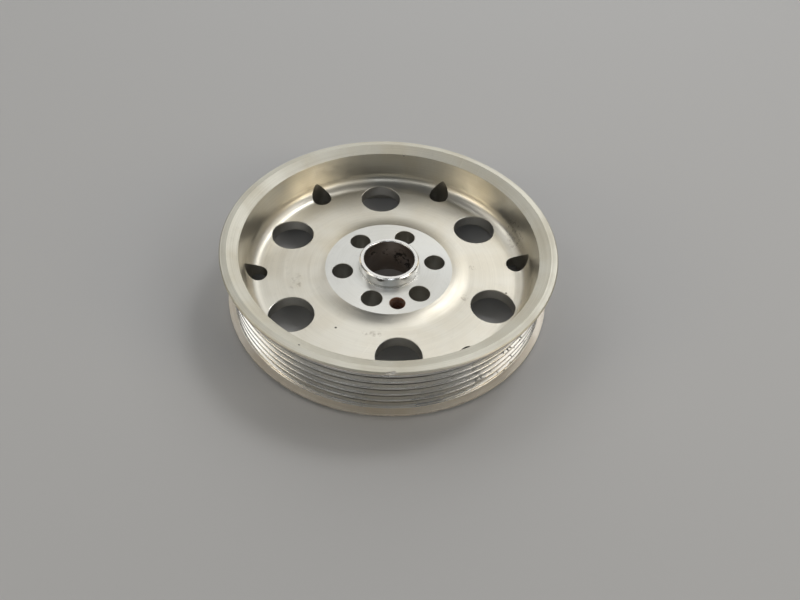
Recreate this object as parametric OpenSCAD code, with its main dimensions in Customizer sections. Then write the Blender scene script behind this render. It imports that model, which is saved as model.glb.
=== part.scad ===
// Machined six-rib drive pulley for a supercharger belt, one solid piece of aluminium.
// Frame: origin on the resting plane under the middle of the bore, +Z along the pulley axis.
// The dished side with the locating collar faces up; the hub's back face lies at z = 0.

/* [Rim] */
// Outer diameter of the upper flange
rim_d = 131; // [100:0.5:200]
// Outer diameter of the lower flange
foot_d = 130.5; // [100:0.5:200]
// Height of the rim's upper face above the hub's back face
rim_top = 27.5; // [20:0.1:40]
// Height of the rim's lower face above the hub's back face
rim_back = 1.1; // [0:0.1:5]
// Diameter at which the flat rim face turns into the sloping facet
facet_d = 125.6; // [100:0.1:190]
// Diameter of the sharp inner lip
lip_d = 117.2; // [90:0.1:180]
// Height of the sharp inner lip
lip_z = 25.25; // [15:0.05:38]
// Bevel on the upper outer edge
rim_bevel = 0.4; // [0:0.1:1.5]
// Chamfer on the lower outer edge
foot_chamfer = 0.65; // [0:0.05:2]

/* [Belt grooves] */
// Number of V grooves
groove_count = 6; // [3:1:10]
// Distance from one groove to the next
groove_pitch = 3.56; // [2.34:0.01:4.7]
// Included angle of a groove
groove_angle = 40; // [34:1:44]
// Depth of a groove below the rib crests
groove_depth = 2.4; // [1.5:0.1:3.2]
// Width of the flat on each rib crest
crest_land = 0.7; // [0.3:0.05:1.2]
// Diameter over the rib crests
crest_d = 125.1; // [90:0.1:195]
// Height of the lowest crest, beside the lower flange
first_crest_z = 3.53; // [2:0.01:8]
// Slope of the lower flange's inner face
lower_flange_slope = 10; // [0:1:30]
// Slope of the upper flange's inner face
upper_flange_slope = 18; // [0:1:30]

/* [Web and dish] */
// Height of the web's upper face
web_top = 10.25; // [5:0.05:20]
// Height of the web's lower face
web_under = 5.6; // [1:0.1:15]
// Radius of the fillet between the web and the inner wall
dish_fillet = 6.2; // [1:0.1:12]
// Lean of the inner wall away from the axis
wall_lean = 6.7; // [0.5:0.1:20]
// Diameter of the recess under the web
back_recess_d = 114; // [80:0.5:180]
// Radius of the fillet in the corners of the recess under the web
back_fillet = 3; // [0.5:0.1:5]

/* [Hub] */
// Diameter of the raised facing around the collar
pad_d = 51.7; // [30:0.1:80]
// Height of the raised facing
pad_top = 11.6; // [5:0.05:25]
// Radius of the shallow fillet from the facing's edge down to the web
pad_fillet = 26; // [2:0.5:40]
// Diameter of the boss under the web
boss_d = 52; // [30:0.1:80]
// Outer diameter of the locating collar
collar_d = 24; // [15:0.1:40]
// Height of the locating collar's upper face
collar_top = 16.4; // [10:0.1:35]
// Chamfer on the collar's upper outer edge
collar_chamfer = 0.45; // [0:0.05:2]
// Width of the relief groove around the collar's foot
relief_w = 0.6; // [0.55:0.05:1]
// Depth of the relief groove around the collar's foot
relief_depth = 0.3; // [0.05:0.05:1]
// Diameter of the centre bore
bore_d = 20.2; // [10:0.1:36]
// Chamfer at both ends of the centre bore
bore_chamfer = 0.3; // [0:0.05:1.5]

/* [Holes] */
// Number of bolt holes
bolt_count = 6; // [3:1:12]
// Diameter of a bolt hole, for an M8 bolt
bolt_d = 8.4; // [5:0.1:14]
// Diameter of the circle through the bolt holes
bolt_circle_d = 38; // [20:0.1:60]
// Angle of the first bolt hole
bolt_angle = 11; // [0:0.5:60]
// Diameter of the dowel hole
dowel_d = 6.1; // [3:0.1:10]
// Distance of the dowel hole from the axis
dowel_r = 20.35; // [10:0.05:35]
// Angle of the dowel hole
dowel_angle = -79; // [-180:0.5:180]
// Number of round windows in the web
window_count = 6; // [3:1:12]
// Diameter of a window
window_d = 17.3; // [6:0.1:25]
// Diameter of the circle through the windows
window_circle_d = 90.4; // [60:0.1:140]
// Angle of the first window
window_angle = 36.4; // [0:0.1:60]
// Diameter of the small drillings between the windows
drill_d = 8.5; // [3:0.1:15]
// Diameter of the circle through the small drillings
drill_circle_d = 106.5; // [80:0.1:150]

/* [Hidden] */
$fn = 96;
// cuts run this far past a face
past = 1;
rim_r = rim_d / 2;
foot_r = foot_d / 2;
crest_r = crest_d / 2;
lip_r = lip_d / 2;
// middle of the dish fillet: tangent to the web and to the leaning wall
fillet_z = web_top + dish_fillet;
fillet_r = lip_r - (lip_z - fillet_z) * tan(wall_lean) - dish_fillet / cos(wall_lean);
// where the fillet meets the wall
tangent_r = fillet_r + dish_fillet * cos(wall_lean);
tangent_z = fillet_z - dish_fillet * sin(wall_lean);
last_crest_z = first_crest_z + groove_count * groove_pitch;
half_angle = groove_angle / 2;
// half widths of a groove at the crests and at its root
mouth_half = (groove_pitch - crest_land) / 2;
root_half = mouth_half - groove_depth * tan(half_angle);
pad_step = pad_top - web_top;
// how far the fillet beside the facing reaches out over the web
pad_run = sqrt(2 * pad_fillet * pad_step - pad_step * pad_step);

// one V groove, as a section to be cut
module groove_section(z) {
  polygon([
    [crest_r + past, z - mouth_half - past * tan(half_angle)],
    [crest_r - groove_depth, z - root_half],
    [crest_r - groove_depth, z + root_half],
    [crest_r + past, z + mouth_half + past * tan(half_angle)]
  ]);
}

// the belt track between the two flanges, down to the rib crests
module track_section() {
  lo = first_crest_z - crest_land / 2;
  hi = last_crest_z + crest_land / 2;
  out = rim_r + past;
  polygon([
    [crest_r, lo],
    [out, lo - (out - crest_r) * tan(lower_flange_slope)],
    [out, hi + (out - crest_r) * tan(upper_flange_slope)],
    [crest_r, hi]
  ]);
}

// the ring that carries the belt, before its dish and grooves are cut
module rim_section() {
  r_in = back_recess_d / 2 - 8;
  polygon([
    [r_in, rim_back],
    [foot_r - foot_chamfer, rim_back],
    [foot_r, rim_back + foot_chamfer],
    [foot_r, last_crest_z / 2],
    [rim_r, last_crest_z / 2],
    [rim_r, rim_top - rim_bevel],
    [rim_r - rim_bevel, rim_top],
    [r_in, rim_top]
  ]);
}

// the dish above the web: leaning wall, fillet and the sloping facet of the rim
module dish_section() {
  polygon([
    [0, web_top],
    [fillet_r, web_top],
    [fillet_r, fillet_z],
    [tangent_r, tangent_z],
    [lip_r, lip_z],
    [facet_d / 2, rim_top],
    [facet_d / 2, rim_top + past],
    [0, rim_top + past]
  ]);
  translate([fillet_r, fillet_z])
    circle(r = dish_fillet);
}

// the recess under the web, with a round fillet at its outer and inner corners
module back_section() {
  outer = back_recess_d / 2;
  inner = boss_d / 2;
  deep = web_under;
  difference() {
    translate([inner, -past])
      square([outer - inner, deep + past]);
    translate([outer - back_fillet, deep - back_fillet])
      square(back_fillet + past);
    translate([inner - past, deep - back_fillet])
      square(back_fillet + past);
  }
  translate([outer - back_fillet, deep - back_fillet])
    circle(r = back_fillet);
  translate([inner + back_fillet, deep - back_fillet])
    circle(r = back_fillet);
}

// raised facing with a shallow round fillet down to the web
module pad_section() {
  edge = pad_d / 2;
  translate([0, web_under])
    square([edge, pad_top - web_under]);
  difference() {
    translate([edge - past, web_top - past])
      square([pad_run + past, pad_step + past]);
    translate([edge + pad_run, web_top + pad_fillet])
      circle(r = pad_fillet);
  }
}

// locating collar with a chamfered edge
module collar_section() {
  polygon([
    [0, pad_top - past],
    [collar_d / 2, pad_top - past],
    [collar_d / 2, collar_top - collar_chamfer],
    [collar_d / 2 - collar_chamfer, collar_top],
    [0, collar_top]
  ]);
}

// centre bore with a chamfer at each end
module bore_section() {
  r = bore_d / 2;
  polygon([
    [0, -past],
    [r + bore_chamfer + past, -past],
    [r, bore_chamfer],
    [r, collar_top - bore_chamfer],
    [r + bore_chamfer + past, collar_top + past],
    [0, collar_top + past]
  ]);
}

// half section of the whole pulley
module pulley_section() {
  difference() {
    union() {
      difference() {
        union() {
          rim_section();
          square([back_recess_d / 2 - 4, rim_top]);
        }
        dish_section();
        back_section();
      }
      pad_section();
      collar_section();
    }
    bore_section();
    track_section();
    for (i = [0 : groove_count - 1])
      groove_section(first_crest_z + (i + 0.5) * groove_pitch);
    translate([collar_d / 2, pad_top - relief_depth])
      square([relief_w, relief_depth + past]);
  }
}

// a ring of equal upright holes through the web or the hub
module hole_ring(count, circle_d, d, angle) {
  for (i = [0 : count - 1])
    rotate([0, 0, angle + i * 360 / count])
      translate([circle_d / 2, 0, -past])
        cylinder(h = rim_top, d = d);
}

module pulley() {
  color([0.78, 0.77, 0.73])
    difference() {
      rotate_extrude($fn = 180)
        pulley_section();
      hole_ring(bolt_count, bolt_circle_d, bolt_d, bolt_angle);
      hole_ring(window_count, window_circle_d, window_d, window_angle);
      hole_ring(window_count, drill_circle_d, drill_d, window_angle + 180 / window_count);
      rotate([0, 0, dowel_angle])
        translate([dowel_r, 0, -past])
          cylinder(h = rim_top, d = dowel_d);
    }
}

pulley();
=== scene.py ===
import math

import bmesh
import bpy
import numpy as np
from mathutils import Euler, Matrix, Vector


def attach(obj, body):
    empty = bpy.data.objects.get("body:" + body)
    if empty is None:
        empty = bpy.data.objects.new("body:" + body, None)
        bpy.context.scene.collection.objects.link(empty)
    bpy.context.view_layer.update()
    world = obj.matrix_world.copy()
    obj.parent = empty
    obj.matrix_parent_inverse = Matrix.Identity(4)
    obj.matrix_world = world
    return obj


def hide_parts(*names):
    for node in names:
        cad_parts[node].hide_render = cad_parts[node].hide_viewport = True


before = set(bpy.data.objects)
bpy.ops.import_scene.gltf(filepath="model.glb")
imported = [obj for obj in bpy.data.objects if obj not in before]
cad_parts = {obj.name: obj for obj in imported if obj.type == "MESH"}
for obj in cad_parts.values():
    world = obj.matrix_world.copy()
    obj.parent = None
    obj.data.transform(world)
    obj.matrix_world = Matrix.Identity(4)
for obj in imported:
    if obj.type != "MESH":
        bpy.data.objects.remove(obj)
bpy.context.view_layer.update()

D = math.pi / 180
MM = 0.001
TINY = 1e-9

# ---------------------------------------------------------------- dimensions, mm
RIM_R, FOOT_R = 65.5, 65.25
RIM_TOP, RIM_BACK = 27.5, 1.1
RIM_BEVEL, FOOT_CH = 0.4, 0.65
FACET_R = 62.8
LIP_R, LIP_Z = 58.6, 25.25
GROOVES = 6
PITCH = 3.56
CREST_R = 62.55
FIRST_CREST = 3.53
LAND = 0.7
DEPTH = 2.4
HALF = 20 * D
LOWER_SLOPE, UPPER_SLOPE = 10 * D, 18 * D
WEB_TOP, WEB_UNDER = 10.25, 5.6
FILLET = 6.2
LEAN = 6.7
BACK_R, BACK_FILLET = 57.0, 3.0
PAD_R, PAD_TOP, PAD_FILLET = 25.85, 11.6, 26.0
BOSS_R = 26.0
COLLAR_R, COLLAR_TOP, COLLAR_CH = 12.0, 16.4, 0.45
RELIEF_W, RELIEF = 0.6, 0.3
BORE_R, BORE_CH = 10.1, 0.3
RING_OF = 6
SPACING = 360 / RING_OF
BOLT_R, BOLT_C, BOLT_A = 4.2, 19.0, 11.0
DOWEL_R, DOWEL_C, DOWEL_A = 3.05, 20.35, -79.0
WIN_R, WIN_C, WIN_A = 8.65, 45.2, 36.4
DRILL_R, DRILL_C = 4.25, 53.25

# middle of the fillet between the web and the leaning wall
FILLET_Z = WEB_TOP + FILLET
FILLET_R = LIP_R - (LIP_Z - FILLET_Z) * math.tan(LEAN * D) - FILLET / math.cos(LEAN * D)

# radius to which each kind of corner is rounded
ROUND_GROOVE, ROUND_RELIEF, ROUND_EDGE = 0.45, 0.08, 0.13
# break on the edges of the bolt holes and the dowel hole, and of the windows
HOLE_CH, WIN_CH = 0.16, 0.28
# a broken edge's middle point lies this share of the break from both faces
EASE = 0.3
# cutters run this far past a face
PAST = 1.0

# fineness of the mesh: faces around the axis, steps in an arc, sides of each hole
TURNS = 300
ARC_STEPS, DISH_STEPS = 8, 18
BOLT_SIDES, WIN_SIDES, DRILL_SIDES, DOWEL_SIDES = 64, 112, 80, 56

# turned surfaces first, then the hole walls and the nicks
REGIONS = ["bore", "back", "foot", "groove", "rim", "facet", "dish", "pad", "collar"]
REGIONS += ["hole", "drill", "dowel", "nick"]

# small nicks in the edges: radius, bearing, height, half sizes (out, along, up), turn, seed
NICKS = [
    (RIM_R - 0.15, -88, RIM_TOP - 0.05, (0.7, 2.3, 0.55), 3, 1),
    (LIP_R, 85.6, LIP_Z + 0.05, (0.4, 0.45, 0.3), 0, 4),
    (LIP_R - 0.05, -61.8, LIP_Z + 0.1, (0.2, 0.7, 0.2), 0, 5),
    (COLLAR_R, -38, COLLAR_TOP + 0.05, (0.28, 0.9, 0.35), 12, 6),
    (COLLAR_R + 0.05, -52, COLLAR_TOP, (0.2, 0.5, 0.25), -10, 7),
]


def polar(r, a):
    return r * math.cos(a * D), r * math.sin(a * D)


# ---------------------------------------------------------------- half section of the pulley, (r, z)
def outline():
    """Corners of the section, each with the region of the face that leads to it."""
    pts, tags = [], []

    def to(r, z, tag):
        pts.append((r, z))
        tags.append(tag)

    def arc(cr, cz, rad, a0, a1, n, tag):
        for i in range(n + 1):
            a = (a0 + (a1 - a0) * i / n) * D
            to(cr + rad * math.cos(a), cz + rad * math.sin(a), tag)

    # underside
    under = WEB_UNDER - BACK_FILLET
    to(BORE_R + BORE_CH, 0, "bore")
    to(BOSS_R, 0, "back")
    arc(BOSS_R + BACK_FILLET, under, BACK_FILLET, 180, 90, ARC_STEPS, "back")
    arc(BACK_R - BACK_FILLET, under, BACK_FILLET, 90, 0, ARC_STEPS, "back")
    to(BACK_R, RIM_BACK, "back")
    to(FOOT_R - FOOT_CH, RIM_BACK, "back")
    # lower flange
    lo = FIRST_CREST - LAND / 2
    to(FOOT_R, RIM_BACK + FOOT_CH, "foot")
    to(FOOT_R, lo - (FOOT_R - CREST_R) * math.tan(LOWER_SLOPE), "foot")
    to(CREST_R, lo, "foot")
    # belt grooves
    mouth = (PITCH - LAND) / 2
    root = mouth - DEPTH * math.tan(HALF)
    for i in range(GROOVES):
        z = FIRST_CREST + (i + 0.5) * PITCH
        to(CREST_R, z - mouth, "groove")
        to(CREST_R - DEPTH, z - root, "groove")
        to(CREST_R - DEPTH, z + root, "groove")
        to(CREST_R, z + mouth, "groove")
    # upper flange
    hi = FIRST_CREST + GROOVES * PITCH + LAND / 2
    to(CREST_R, hi, "groove")
    to(RIM_R, hi + (RIM_R - CREST_R) * math.tan(UPPER_SLOPE), "groove")
    to(RIM_R, RIM_TOP - RIM_BEVEL, "foot")
    to(RIM_R - RIM_BEVEL, RIM_TOP, "rim")
    to(FACET_R, RIM_TOP, "rim")
    to(LIP_R, LIP_Z, "facet")
    # dish
    arc(FILLET_R, FILLET_Z, FILLET, -LEAN, -90, DISH_STEPS, "dish")
    step = PAD_TOP - WEB_TOP
    run = math.sqrt(2 * PAD_FILLET * step - step * step)
    rise = math.asin(run / PAD_FILLET) / D
    arc(PAD_R + run, WEB_TOP + PAD_FILLET, PAD_FILLET, 270, 270 - rise, ARC_STEPS, "dish")
    # facing, relief groove, collar and bore
    to(COLLAR_R + RELIEF_W, PAD_TOP, "pad")
    to(COLLAR_R + RELIEF_W, PAD_TOP - RELIEF, "pad")
    to(COLLAR_R, PAD_TOP - RELIEF, "pad")
    to(COLLAR_R, COLLAR_TOP - COLLAR_CH, "collar")
    to(COLLAR_R - COLLAR_CH, COLLAR_TOP, "collar")
    to(BORE_R + BORE_CH, COLLAR_TOP, "collar")
    to(BORE_R, COLLAR_TOP - BORE_CH, "collar")
    to(BORE_R, BORE_CH, "bore")
    return pts, tags


def corner_radius(a, b):
    """Radius of the corner between faces of regions a and b."""
    if "groove" in (a, b):
        return ROUND_GROOVE
    if a == b == "pad":
        return ROUND_RELIEF
    return ROUND_EDGE


def corner_steps(bend, rad):
    """Steps in a corner that bends by this angle."""
    gentle = 50 * D
    if bend < gentle:
        return 2
    return 5 if rad == ROUND_GROOVE else 3


def rounded(pts, tags):
    """Turns every real corner into a small arc, and leaves the points along arcs as they are."""
    nearly_straight = 165 * D
    most = 0.45  # the share of a side that one corner may take
    out, out_tags = [], []
    n = len(pts)
    for i in range(n):
        p, a, b = Vector(pts[i]), Vector(pts[i - 1]), Vector(pts[(i + 1) % n])
        u, v = (a - p).normalized(), (b - p).normalized()
        ang = math.acos(max(-1, min(1, u.dot(v))))
        if ang > nearly_straight:
            out.append(tuple(p))
            out_tags.append(tags[i])
            continue
        tag = tags[(i + 1) % n]
        rad = corner_radius(tags[i], tag)
        back = min(rad / math.tan(ang / 2), most * (a - p).length, most * (b - p).length)
        r = back * math.tan(ang / 2)
        c = p + (u + v).normalized() * (r / math.sin(ang / 2))
        s, e = p + u * back - c, p + v * back - c
        steps = corner_steps(math.pi - ang, rad)
        for k in range(steps + 1):
            t = k / steps
            w = (s * (1 - t) + e * t).normalized() * r
            out.append(tuple(c + w))
            out_tags.append(tags[i] if k == 0 else tag)
    return out, out_tags


SEC, TAGS = rounded(*outline())
SEC_N = len(SEC)
SEC_AT = np.array(SEC)
SEC_STEP = np.roll(SEC_AT, -1, 0) - SEC_AT


def section_normals():
    """Outward (r, z) normals of the outline's segments and points; long flats keep their own."""
    longest = 3.0
    ln = np.hypot(SEC_STEP[:, 0], SEC_STEP[:, 1])
    seg = np.stack([SEC_STEP[:, 1], -SEC_STEP[:, 0]], 1) / ln[:, None]
    w = np.minimum(ln, longest)[:, None] ** 2
    n = seg * w + np.roll(seg * w, 1, 0)
    return seg, n / np.hypot(n[:, 0], n[:, 1])[:, None]


SEG_NORMAL, POINT_NORMAL = section_normals()


# ---------------------------------------------------------------- mesh
def paint(faces, region):
    for f in faces:
        f.material_index = REGIONS.index(region)


def lathe():
    """The outline turned about the axis."""
    bm = bmesh.new()
    rings = []
    for j in range(TURNS):
        a = 2 * math.pi * j / TURNS
        c, s = math.cos(a), math.sin(a)
        rings.append([bm.verts.new((r * c * MM, r * s * MM, z * MM)) for r, z in SEC])
    for j in range(TURNS):
        p, q = rings[j], rings[(j + 1) % TURNS]
        for i in range(SEC_N):
            k = (i + 1) % SEC_N
            paint([bm.faces.new((p[i], q[i], q[k], p[k]))], TAGS[k])
    return bm


# place and region of every hole, for shading its wall
HOLES = []


def hole_ring(bm, x, y, rad, n, height):
    """n points around (x, y); height gives a point's z from its distance to the axis."""
    ring = []
    for j in range(n):
        a = 2 * math.pi * j / n
        px, py = x + rad * math.cos(a), y + rad * math.sin(a)
        ring.append(bm.verts.new((px * MM, py * MM, height(math.hypot(px, py)) * MM)))
    return ring


def bands(bm, rings):
    """Faces that join each ring to the next."""
    n = len(rings[0])
    pairs = zip(rings[:-1], rings[1:])
    return [
        bm.faces.new((p[j], p[(j + 1) % n], q[(j + 1) % n], q[j])) for p, q in pairs for j in range(n)
    ]


def hole(bm, r, a, profile, region, n):
    """Cutter for a round hole at polar (r, a), its outline a list of (radius, z)."""
    x, y = polar(r, a)
    HOLES.append((x, y, REGIONS.index(region)))
    rings = [hole_ring(bm, x, y, rad, n, lambda _, z=z: z) for rad, z in profile]
    faces = bands(bm, rings)
    faces.append(bm.faces.new(list(reversed(rings[0]))))
    faces.append(bm.faces.new(rings[-1]))
    paint(faces, region)


def broken_hole(r):
    """Outline of a hole through the hub, with a small broken edge at each face."""
    ch, top = HOLE_CH, PAD_TOP
    lower = [(r + ch + PAST, -PAST), (r + ch, 0), (r + ch * EASE, ch * EASE), (r, ch)]
    upper = [(r, top - ch), (r + ch * EASE, top - ch * EASE), (r + ch, top)]
    return lower + upper + [(r + ch + PAST, top + PAST)]


def dish_height(r):
    """Height of the web or of the fillet outside it at radius r."""
    if r <= FILLET_R:
        return WEB_TOP
    return FILLET_Z - math.sqrt(FILLET**2 - (r - FILLET_R) ** 2)


def window(bm, a):
    """Cutter for one window; its broken upper edge follows the web and the fillet."""
    over = 4
    peak = 6
    x, y = polar(WIN_C, a)
    HOLES.append((x, y, REGIONS.index("hole")))
    rings = [hole_ring(bm, x, y, WIN_R, WIN_SIDES, lambda r: WEB_UNDER - PAST)]
    for wider, dz in ((0, -WIN_CH), (WIN_CH * EASE, -WIN_CH * EASE), (WIN_CH, 0), (WIN_CH, over)):
        rings.append(hole_ring(bm, x, y, WIN_R + wider, WIN_SIDES, lambda r: dish_height(r) + dz))
    faces = bands(bm, rings)
    tip = bm.verts.new((x * MM, y * MM, (WEB_TOP + peak) * MM))
    faces.append(bm.faces.new(list(reversed(rings[0]))))
    last = rings[-1]
    faces += [bm.faces.new((last[j], last[(j + 1) % WIN_SIDES], tip)) for j in range(WIN_SIDES)]
    paint(faces, "hole")


def cutters():
    """All holes but the bore."""
    below, above = -2, 30
    drilling = [(DRILL_R, below), (DRILL_R, above)]
    bm = bmesh.new()
    for i in range(RING_OF):
        hole(bm, BOLT_C, BOLT_A + SPACING * i, broken_hole(BOLT_R), "hole", BOLT_SIDES)
        window(bm, WIN_A + SPACING * i)
        hole(bm, DRILL_C, WIN_A + SPACING / 2 + SPACING * i, drilling, "drill", DRILL_SIDES)
    hole(bm, DOWEL_C, DOWEL_A, broken_hole(DOWEL_R), "dowel", DOWEL_SIDES)
    return bm


def nick(bm, r, a, z, size, turn, seed):
    """A small ragged lump that bites a nick out of an edge."""
    ragged = 0.3
    rng = np.random.default_rng(seed)
    x, y = polar(r, a)
    aim = Euler((turn * D, 0, a * D), "XYZ").to_matrix().to_4x4()
    place = Matrix.Translation((x * MM, y * MM, z * MM)) @ aim
    got = bmesh.ops.create_icosphere(bm, subdivisions=3, radius=1.0)
    for v in got["verts"]:
        k = 1 + ragged * rng.uniform(-1, 1)
        v.co = place @ Vector([c * s * k * MM for c, s in zip(v.co, size)])
    paint({f for v in got["verts"] for f in v.link_faces}, "nick")


def nicks():
    bm = bmesh.new()
    for row in NICKS:
        nick(bm, *row)
    return bm


def mesh_object(name, bm):
    bmesh.ops.recalc_face_normals(bm, faces=bm.faces)
    me = bpy.data.meshes.new(name)
    bm.to_mesh(me)
    bm.free()
    ob = bpy.data.objects.new(name, me)
    bpy.context.scene.collection.objects.link(ob)
    return ob


def build_body():
    """The turned body with its holes and nicks cut."""
    ob = mesh_object("pulley_body", lathe())
    for region in REGIONS:
        ob.data.materials.append(bpy.data.materials.new("aluminium_" + region))
    knives = [mesh_object("holes", cutters()), mesh_object("nicks", nicks())]
    for knife in knives:
        for m in ob.data.materials:
            knife.data.materials.append(m)
        cut = ob.modifiers.new(knife.name, "BOOLEAN")
        cut.operation, cut.solver, cut.object = "DIFFERENCE", "EXACT", knife
    bpy.context.view_layer.update()
    done = ob.evaluated_get(bpy.context.evaluated_depsgraph_get())
    cut_mesh = bpy.data.meshes.new_from_object(done)
    ob.modifiers.clear()
    for knife in knives:
        bpy.data.objects.remove(knife)
    ob.data = cut_mesh
    return ob


# ---------------------------------------------------------------- shading
def read(items, attribute, width=1, kind=float):
    """One attribute of all points, corners or faces of a mesh, as an array."""
    values = np.empty(len(items) * width, kind)
    items.foreach_get(attribute, values)
    return values.reshape(-1, width) if width > 1 else values


def unit(v):
    """Plane vectors, one a row, at length 1."""
    return v / np.maximum(np.hypot(v[:, 0], v[:, 1]), TINY)[:, None]


def nearest_segment(mid, normal):
    """The outline's segment on which each face lies, from its middle and normal in (r, z)."""
    chunk = 4000
    normal_weight = 0.3
    length2 = (SEC_STEP**2).sum(1)
    found = np.zeros(len(mid), int)
    for part in np.array_split(np.arange(len(mid)), max(1, len(mid) // chunk)):
        p = mid[part][:, None]
        t = np.clip(((p - SEC_AT) * SEC_STEP).sum(2) / length2, 0, 1)
        dist = np.linalg.norm(p - (SEC_AT + SEC_STEP * t[..., None]), axis=2)
        dist += normal_weight * (1 - normal[part] @ SEG_NORMAL.T)
        found[part] = dist.argmin(1)
    return found


def turned_normals(at, out_dir, seg):
    """Normals at corners on the turned surface, each blended along its segment."""
    q = np.stack([np.hypot(at[:, 0], at[:, 1]), at[:, 2]], 1)
    a, ab = SEC_AT[seg], SEC_STEP[seg]
    t = np.clip(((q - a) * ab).sum(1) / (ab**2).sum(1), 0, 1)[:, None]
    n = unit(POINT_NORMAL[seg] * (1 - t) + POINT_NORMAL[(seg + 1) % SEC_N] * t)
    return np.stack([out_dir[:, 0] * n[:, 0], out_dir[:, 1] * n[:, 0], n[:, 1]], 1)


def shade(me):
    """Gives every corner the exact normal of the turned or drilled surface it lies on."""
    count = len(me.polygons)
    total = read(me.polygons, "loop_total", kind=np.int32)
    region = read(me.polygons, "material_index", kind=np.int32)
    face_normal = read(me.polygons, "normal", 3)
    face = np.repeat(np.arange(count), total)
    at = read(me.vertices, "co", 3)[read(me.loops, "vertex_index", kind=np.int32)] / MM
    out_dir = unit(at[:, :2])
    normals = face_normal[face].copy()

    def face_sum(values):
        return np.bincount(face, values, count)

    # turned faces
    turned = region < REGIONS.index("hole")
    mid = np.stack([face_sum(np.hypot(at[:, 0], at[:, 1])), face_sum(at[:, 2])], 1) / total[:, None]
    face_dir = unit(np.stack([face_sum(out_dir[:, k]) for k in (0, 1)], 1))
    outward = (face_normal[:, :2] * face_dir).sum(1)
    in_section = np.stack([outward, face_normal[:, 2]], 1)
    seg = np.zeros(count, int)
    seg[turned] = nearest_segment(mid[turned], in_section[turned])
    use = turned[face]
    normals[use] = turned_normals(at, out_dir, seg[face])[use]

    # hole walls
    holes = np.array([(x, y) for x, y, _ in HOLES])
    kinds = np.array([k for _, _, k in HOLES])
    middle = np.stack([face_sum(at[:, k]) / total for k in (0, 1)], 1)
    dist = np.linalg.norm(middle[:, None] - holes[None], axis=2)
    dist[kinds[None] != region[:, None]] = np.inf
    away = unit(at[:, :2] - holes[dist.argmin(1)][face])
    up = face_normal[face, 2]
    side = np.sqrt(np.maximum(0, 1 - up**2))
    use = np.isin(region, kinds)[face]
    normals[use] = np.stack([-away[:, 0] * side, -away[:, 1] * side, up], 1)[use]

    me.polygons.foreach_set("use_smooth", np.ones(count, bool))
    me.normals_split_custom_set(normals.tolist())


body = build_body()
shade(body.data)


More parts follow.
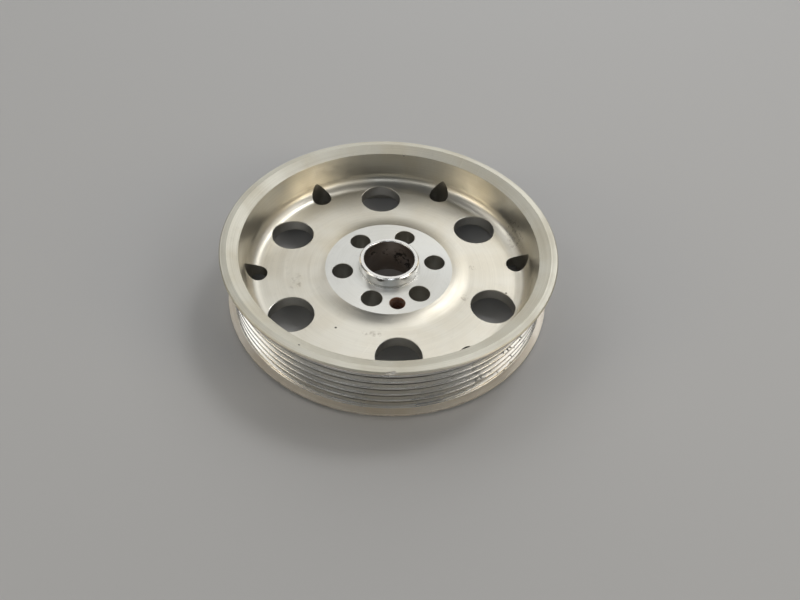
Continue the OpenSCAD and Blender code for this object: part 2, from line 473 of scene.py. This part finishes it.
# ---------------------------------------------------------------- materials
class Nodes:
    """Short calls for building one material's nodes."""

    def __init__(self, mat):
        mat.use_nodes = True
        self.t = mat.node_tree
        self.t.nodes.clear()
        self.out = self.t.nodes.new("ShaderNodeOutputMaterial")
        self.bsdf = self.t.nodes.new("ShaderNodeBsdfPrincipled")
        self.t.links.new(self.bsdf.outputs[0], self.out.inputs[0])
        self.co = self.t.nodes.new("ShaderNodeTexCoord").outputs["Object"]
        sep = self.t.nodes.new("ShaderNodeSeparateXYZ")
        self.link(self.co, sep.inputs[0])
        self.x, self.y, self.z = sep.outputs
        self.r = self.length([self.x, self.y])
        self.cx = self.math("DIVIDE", self.x, self.r)
        self.cy = self.math("DIVIDE", self.y, self.r)

    def link(self, a, b):
        """Sets socket b to the number or colour a, or links it to the socket a."""
        if isinstance(a, (int, float)):
            b.default_value = a
        elif isinstance(a, tuple):
            b.default_value = a if len(a) == len(b.default_value) else (*a, 1)
        else:
            self.t.links.new(a, b)

    def math(self, op, a, b=0.0, clamp=False):
        n = self.t.nodes.new("ShaderNodeMath")
        n.operation = op
        n.use_clamp = clamp
        self.link(a, n.inputs[0])
        self.link(b, n.inputs[1])
        return n.outputs[0]

    def add(self, a, b):
        return self.math("ADD", a, b)

    def mul(self, a, b):
        return self.math("MULTIPLY", a, b)

    def length(self, parts):
        total = self.mul(parts[0], parts[0])
        for p in parts[1:]:
            total = self.add(total, self.mul(p, p))
        return self.math("SQRT", total)

    def most(self, masks):
        """The strongest of some masks."""
        out = masks[0]
        for m in masks[1:]:
            out = self.math("MAXIMUM", out, m)
        return out

    def vec(self, x, y, z):
        n = self.t.nodes.new("ShaderNodeCombineXYZ")
        for v, i in zip((x, y, z), n.inputs):
            self.link(v, i)
        return n.outputs[0]

    def noise(self, scale, detail=3.0, rough=0.5, vector=None, w=None):
        n = self.t.nodes.new("ShaderNodeTexNoise")
        n.noise_dimensions = "4D" if w is not None else "3D"
        self.link(vector if vector is not None else self.co, n.inputs["Vector"])
        if w is not None:
            self.link(w, n.inputs["W"])
        n.inputs["Scale"].default_value = scale
        n.inputs["Detail"].default_value = detail
        n.inputs["Roughness"].default_value = rough
        return n.outputs["Fac"]

    def remap(self, v, a, b, c=0.0, d=1.0):
        """A smooth step from c to d as v goes from a to b."""
        n = self.t.nodes.new("ShaderNodeMapRange")
        n.interpolation_type = "SMOOTHSTEP"
        for k, val in zip(("Value", "From Min", "From Max", "To Min", "To Max"), (v, a, b, c, d)):
            self.link(val, n.inputs[k])
        return n.outputs["Result"]

    def patches(self, scale, detail, rough, low, high, c=0.0, d=1.0):
        """Noise cut between two levels, for patches with soft edges."""
        return self.remap(self.noise(scale, detail, rough), low, high, c, d)

    def mix(self, fac, a, b):
        n = self.t.nodes.new("ShaderNodeMix")
        n.data_type = "RGBA"
        self.link(fac, n.inputs[0])
        self.link(a, n.inputs[6])
        self.link(b, n.inputs[7])
        return n.outputs[2]

    def rings(self, pitch, streak=1.5):
        """Fine turning lines that follow the lathe, with long soft streaks along them; pitch in mm."""
        k = 1 / (pitch * MM)
        across = self.vec(self.mul(self.r, k), self.mul(self.z, k), self.mul(self.cx, streak))
        return self.noise(1.0, 2.0, 0.6, across, self.mul(self.cy, streak))

    def spot(self, r, a, z, size, ragged=0.5, stretch=(1, 1, 1)):
        """1 inside a ragged spot at polar (r, a), height z, size in mm, fading to 0."""
        solid = 0.55  # share of the size at which the fading starts
        smallest = 0.6  # spots under this size share one grain
        places = zip((self.x, self.y, self.z), (*polar(r, a), z), stretch)
        offsets = [self.mul(self.math("SUBTRACT", here, at * MM), k) for here, at, k in places]
        grain = self.math("SUBTRACT", self.noise(900 / max(size, smallest), 4, 0.65), 0.5)
        d = self.add(self.length(offsets), self.mul(grain, ragged * size * MM * 3))
        return self.remap(d, size * MM, size * solid * MM)

    def bump(self, height, strength, dist, below=None):
        """A bump of dist mm, on top of the one below it."""
        n = self.t.nodes.new("ShaderNodeBump")
        n.inputs["Strength"].default_value = strength
        n.inputs["Distance"].default_value = dist * MM
        self.link(height, n.inputs["Height"])
        if below is not None:
            self.link(below, n.inputs["Normal"])
        return n.outputs[0]

    def hairlines(self):
        """A few straight hairline scratches, all at one slant."""
        squeeze = (2600, 60, 60)
        turn = self.t.nodes.new("ShaderNodeVectorRotate")
        turn.inputs["Angle"].default_value = 0.6
        turn.inputs["Axis"].default_value = (0.2, 0.3, 1)
        self.link(self.co, turn.inputs["Vector"])
        sc = self.t.nodes.new("ShaderNodeVectorMath")
        sc.operation = "MULTIPLY"
        self.link(turn.outputs[0], sc.inputs[0])
        sc.inputs[1].default_value = squeeze
        return self.remap(self.noise(1.0, 1, 0.4, sc.outputs[0]), 0.71, 0.76)


def dim(color, k):
    return tuple(c * k for c in color)


def finish_metal(
    name, base, rough, ring, ring_bump, cloud=0.06, aniso=0.35, extra=None, ring_contrast=0.12
):
    """Satin turned aluminium: turning lines, soft clouds of tone and gloss, hairline scratches.

    ring is the spacing of the lines in mm, and extra adds this surface's own marks.
    """
    cloud_tint = (0.9, 0.84, 0.74)
    n = Nodes(bpy.data.materials["aluminium_" + name])
    lines = n.rings(ring)
    coarse = n.rings(ring * 4.3, 2.5)
    clouds = n.noise(55, 3, 0.55)
    fine = n.noise(420, 3, 0.6)
    hair = n.hairlines()
    # colour
    clouded = tuple(b * t for b, t in zip(base, cloud_tint))
    col = n.mix(n.remap(clouds, 0.35, 0.7, 0, cloud * 6), base, clouded)
    col = n.mix(n.remap(lines, 0.3, 0.7, 0, ring_contrast), col, dim(base, 0.6))
    col = n.mix(n.remap(fine, 0.55, 0.8, 0, 0.12), col, dim(base, 0.55))
    n.col = n.mix(n.mul(hair, 0.3), col, tuple(min(1, c) for c in dim(base, 1.12)))
    # gloss
    line_gloss = n.remap(lines, 0.3, 0.7, rough * 0.88, rough * 1.12)
    n.ro = n.add(line_gloss, n.remap(clouds, 0.3, 0.7, -0.05, 0.05))
    n.metallic = 1.0
    # relief
    relief = n.bump(n.add(n.mul(lines, 0.7), n.mul(coarse, 0.3)), ring_bump, 0.02)
    relief = n.bump(hair, 0.15, -0.01, relief)
    if extra:
        extra(n)
    n.link(n.col, n.bsdf.inputs["Base Color"])
    n.link(n.ro, n.bsdf.inputs["Roughness"])
    n.link(n.metallic, n.bsdf.inputs["Metallic"])
    n.link(relief, n.bsdf.inputs["Normal"])
    n.bsdf.inputs["Anisotropic"].default_value = aniso
    if aniso:
        tan = n.t.nodes.new("ShaderNodeTangent")
        tan.direction_type = "RADIAL"
        tan.axis = "Z"
        n.link(tan.outputs[0], n.bsdf.inputs["Tangent"])


DIRT = (0.035, 0.03, 0.026)


def stain(n, mask, color, rough=None, metal=None):
    """Colours the masked area, and gives it its own roughness and share of metal."""
    n.col = n.mix(mask, n.col, color)
    if rough is not None:
        clean = n.math("SUBTRACT", 1.0, mask)
        n.ro = n.add(n.mul(n.ro, clean), n.mul(mask, rough))
    if metal is not None:
        n.metallic = n.math("SUBTRACT", n.metallic, n.mul(mask, 1 - metal), clamp=True)


def facet_marks(n):
    stain(n, n.spot(62.1, -117.7, 27.1, 0.42), DIRT, 0.7)


def dish_marks_and_shade(n):
    """Painted shade darkening the upper wall, then dark specks, brown finger smears and scuffs on the
    fillet.
    """
    # painted shade: the wall turns darker and greyer towards the top, all round
    stain(n, n.remap(n.z, 17 * MM, 24 * MM, 0, 0.16), (0.42, 0.41, 0.36))
    specks = [
        n.spot(37.7, -120.3, WEB_TOP, 0.5),
        n.spot(57.4, 178.5, 12, 0.5),
        n.spot(48.5, -12.7, WEB_TOP, 0.45),
        n.spot(LIP_R, 85.6, LIP_Z - 0.25, 0.55),
    ]
    stain(n, n.most(specks), DIRT, 0.7, 0.2)
    grain = n.patches(500, 4, 0.7, 0.45, 0.68)
    smears = [
        n.spot(37.8, -165, WEB_TOP, 3.2, 0.5, (1, 0.7, 1)),
        n.spot(35, -97, WEB_TOP, 2.6, 0.5, (0.5, 1.6, 1)),
        n.spot(33.5, -25, WEB_TOP, 2.0),
        n.spot(34.4, 5, WEB_TOP, 1.6),
    ]
    stain(n, n.mul(n.mul(n.most(smears), grain), 0.4), (0.22, 0.17, 0.12), 0.6)
    scuffs = n.mul(n.spot(57, 21, 14, 5.5, 0.4, (1, 0.55, 0.8)), n.patches(700, 4, 0.7, 0.5, 0.66))
    stain(n, n.mul(scuffs, 0.6), (0.25, 0.22, 0.19), 0.5)


def bore_marks(n):
    """A brown film all round, and black oily patches on the far side."""
    side = n.mul(n.spot(10, 55, 8.5, 6.0, 0.3), n.patches(420, 5, 0.7, 0.47, 0.54))
    drops = n.most([n.spot(10, 135, 12, 3.0, 0.3), n.spot(10, 97, 10.5, 2.2, 0.3)])
    far = n.mul(drops, n.patches(500, 5, 0.7, 0.5, 0.58))
    stain(n, n.patches(120, 3, 0.5, 0.35, 0.7, 0.1, 0.6), (0.30, 0.24, 0.20), 0.45)
    stain(n, n.most([side, far]), (0.02, 0.016, 0.014), 0.7, 0.1)


def dowel_rust(n):
    stain(n, n.patches(700, 5, 0.65, 0.38, 0.62, 0.15, 0.95), (0.30, 0.13, 0.08), 0.85, 0.1)


def groove_dirt_and_shade(n):
    """Black streaks at the right, and painted shade with some belt dust in the roots all round."""
    along, across = 22, 900
    stretched = n.vec(n.mul(n.cx, along), n.mul(n.cy, along), n.mul(n.z, across))
    streaks = n.remap(n.noise(1.0, 4, 0.65, stretched), 0.56, 0.64)
    right_side = n.mul(n.remap(n.cx, 0.25, 0.8), n.remap(n.cy, 0.1, -0.2))
    stain(n, n.mul(n.mul(right_side, streaks), 0.9), DIRT, 0.75, 0.2)
    # painted shade: the deep part of every groove darkened all round, broken up by patches of belt
    # dust
    root = n.remap(n.r, (CREST_R - 1.15) * MM, (CREST_R - 1.6) * MM)
    root_shade = n.mul(root, n.patches(160, 4, 0.6, 0.3, 0.65, 0.7, 0.95))
    stain(n, root_shade, (0.045, 0.045, 0.042), 0.5, 0.5)


def foot_darkening_and_grime(n):
    """Patchy darkening towards the bottom edge of the lower flange, and a trace of grime on the upper
    one.
    """
    # darker towards the bottom edge of the lower flange, in patches
    edge = n.mul(n.remap(n.z, 3.2 * MM, 1.2 * MM), n.patches(260, 4, 0.65, 0.45, 0.65))
    stain(n, n.mul(edge, 0.5), (0.16, 0.12, 0.09), 0.65, 0.5)
    upper = n.mul(n.math("GREATER_THAN", n.z, 20 * MM), n.patches(340, 4, 0.65, 0.58, 0.7))
    stain(n, n.mul(upper, 0.25), (0.2, 0.18, 0.15), 0.5)


# name, colour, roughness, spacing of the turning lines in mm, depth of the lines
finish_metal("rim", (0.72, 0.705, 0.63), 0.52, 0.30, 0.35)
finish_metal("facet", (0.84, 0.825, 0.745), 0.62, 0.30, 0.35, extra=facet_marks)
finish_metal("dish", (0.80, 0.775, 0.70), 0.36, 0.40, 0.2, extra=dish_marks_and_shade)
finish_metal("pad", (0.78, 0.785, 0.765), 0.36, 0.22, 0.15, cloud=0.03)
finish_metal(
    "collar", (0.86, 0.86, 0.85), 0.24, 0.18, 0.12, cloud=0.02, aniso=0.3, ring_contrast=0.05
)
finish_metal("bore", (0.55, 0.50, 0.46), 0.34, 0.25, 0.2, extra=bore_marks)
finish_metal("foot", (0.90, 0.85, 0.77), 0.58, 0.28, 0.3, extra=foot_darkening_and_grime)
finish_metal("groove", (0.86, 0.855, 0.83), 0.25, 0.30, 0.06, extra=groove_dirt_and_shade)
finish_metal("back", (0.60, 0.585, 0.54), 0.42, 0.35, 0.35, cloud=0.1)
finish_metal("hole", (0.70, 0.69, 0.65), 0.36, 0.3, 0.3)
finish_metal("drill", (0.58, 0.57, 0.53), 0.4, 0.3, 0.3)
finish_metal("dowel", (0.5, 0.42, 0.36), 0.5, 0.3, 0.3, aniso=0, extra=dowel_rust)
finish_metal("nick", (0.96, 0.95, 0.92), 0.5, 0.3, 0.1, aniso=0)

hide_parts("pulley")
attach(body, "root")

# ---------------------------------------------------------------- floor
# a hair below the part, so that the two surfaces don't coincide
FLOOR_Z = -0.00002
FLOOR_COLOR = (0.62, 0.625, 0.64)
FLOOR_ROUGH = 0.7

bpy.ops.mesh.primitive_plane_add(size=8, location=(0, 0, FLOOR_Z))
floor = bpy.context.object
floor.name = "floor"
floor_nodes = Nodes(bpy.data.materials.new("floor"))
floor_nodes.link(FLOOR_COLOR, floor_nodes.bsdf.inputs["Base Color"])
floor_nodes.link(FLOOR_ROUGH, floor_nodes.bsdf.inputs["Roughness"])
floor.data.materials.append(bpy.data.materials["floor"])

# ---------------------------------------------------------------- light
SKY_COLOR, SKY_STRENGTH = (0.86, 0.93, 1.0, 1), 0.05

world = bpy.data.worlds.new("world")
bpy.context.scene.world = world
world.use_nodes = True
sky = world.node_tree.nodes["Background"]
sky.inputs["Color"].default_value = SKY_COLOR
sky.inputs["Strength"].default_value = SKY_STRENGTH

# name, bearing, elevation, distance in metres, size (wide, high), radiance, colour
LIGHTS = [
    ("back", 90, 43, 1.3, (1.5, 1.1), 0.82, (1.0, 0.99, 0.95)),
    ("back_low", 90, 7, 1.3, (1.8, 0.3), 1.2, (1.0, 0.985, 0.95)),
    ("left", 158, 44, 1.1, (0.5, 0.5), 1.4, (1.0, 0.975, 0.93)),
    ("right", 20, 46, 1.1, (0.5, 0.5), 1.5, (1.0, 0.975, 0.93)),
    ("left_front", -155, 34, 1.1, (0.4, 0.3), 1.5, (1.0, 0.975, 0.93)),
    ("right_front", -28, 34, 1.1, (0.5, 0.3), 2.6, (1.0, 0.97, 0.91)),
    ("lamp", 52, 57, 1.1, (0.24, 0.24), 7.0, (1.0, 0.99, 0.97)),
    ("front", -80, 43, 1.1, (0.24, 0.2), 1.9, (0.93, 0.97, 1.0)),
    ("front_left", -122, 43, 1.1, (0.36, 0.25), 1.1, (1.0, 0.99, 0.97)),
    ("gold_right", -20, 21, 1.1, (0.4, 0.25), 3.6, (1.0, 0.83, 0.56)),
    ("gold_left", -160, 21, 1.1, (0.4, 0.25), 3.6, (1.0, 0.86, 0.62)),
]
LIT_POINT = Vector((0, 0, 0.01))


def area_light(name, az, el, dist, size, radiance, color):
    light = bpy.data.lights.new(name, "AREA")
    light.shape = "RECTANGLE"
    light.size, light.size_y = size
    light.energy = radiance * math.pi * size[0] * size[1]
    light.color = color
    ob = bpy.data.objects.new(name, light)
    across, up = math.cos(el * D), math.sin(el * D)
    loc = Vector((across * math.cos(az * D), across * math.sin(az * D), up)) * dist
    ob.location = loc
    ob.rotation_euler = (LIT_POINT - loc).to_track_quat("-Z", "Y").to_euler()
    bpy.context.scene.collection.objects.link(ob)


for row in LIGHTS:
    area_light(*row)

# ---------------------------------------------------------------- camera
CAMERA_AT = Vector((0, -0.1950, 0.2035))
# how far the camera looks down, and its small turns about its own upright, level and viewing axes
ELEV, YAW, TILT, ROLL = 45.95 * D, -1.14 * D, 1.40 * D, 2.58 * D

look = (
    Matrix.Rotation(ROLL, 3, "Z")
    @ Matrix.Rotation(TILT, 3, "X")
    @ Matrix.Rotation(YAW, 3, "Y")
    @ Matrix.Rotation(90 * D + ELEV, 3, "X")
)
right, down, ahead = look
cam_data = bpy.data.cameras.new("camera")
cam_data.sensor_width = 36
cam_data.lens = 30.132
cam_data.shift_x = -0.001
cam_data.clip_start = 0.01
cam = bpy.data.objects.new("camera", cam_data)
turned_to = Matrix((right, -down, -ahead)).transposed()
cam.matrix_world = Matrix.Translation(CAMERA_AT) @ turned_to.to_4x4()
bpy.context.scene.collection.objects.link(cam)
bpy.context.scene.camera = cam
bpy.context.scene.view_settings.view_transform = "Standard"
